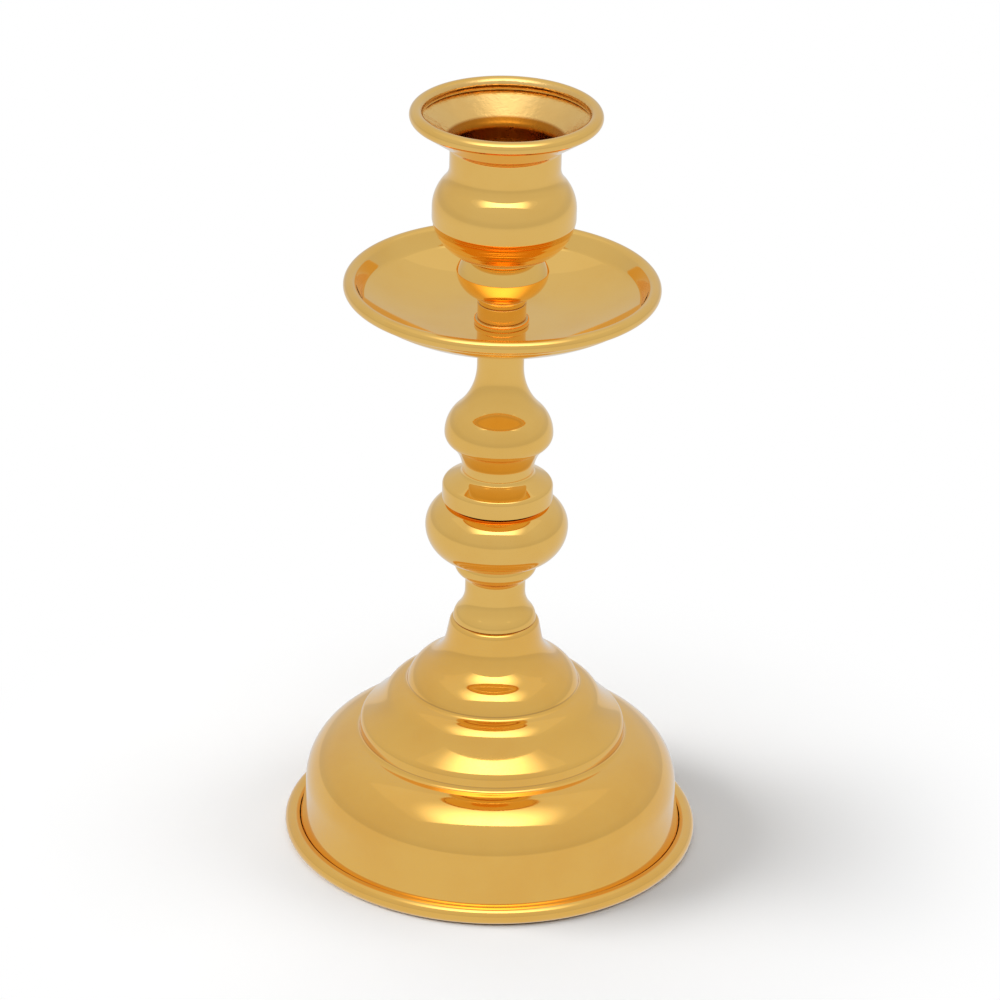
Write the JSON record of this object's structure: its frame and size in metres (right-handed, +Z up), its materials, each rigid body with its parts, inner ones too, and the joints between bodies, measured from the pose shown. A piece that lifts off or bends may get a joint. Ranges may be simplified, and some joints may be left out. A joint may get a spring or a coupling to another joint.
{
  "type": "socket candlestick",
  "caption": "Polished brass candlestick: stepped spun base, turned baluster stem, round drip pan and a vase-shaped cup whose open socket holds a candle.",
  "frame": {"origin": "centre of the foot ring, on the table", "axes": "+Z up along the stem; the object is round about Z, and -Y faces the picture's camera"},
  "size_m": [0.1064, 0.1064, 0.2],
  "materials": {
    "spun_brass": "polished",
    "turned_brass": "polished",
    "plated_steel": "zinc plated"
  },
  "bodies": {
    "root": {"base_shell": "spun_brass", "drip_pan": "spun_brass", "candle_cup": "spun_brass", "stem_foot": "turned_brass", "knop": "turned_brass", "collar_disc": "turned_brass", "pear_baluster": "turned_brass", "pan_ring": "turned_brass", "spacer_tube": "turned_brass", "cup_knob": "turned_brass", "tie_rod": "plated_steel", "cup_washer": "plated_steel", "cup_nut": "plated_steel", "clamp_washer": "plated_steel", "lock_washer": "plated_steel", "base_nut": "plated_steel"}
  },
  "joints": []
}
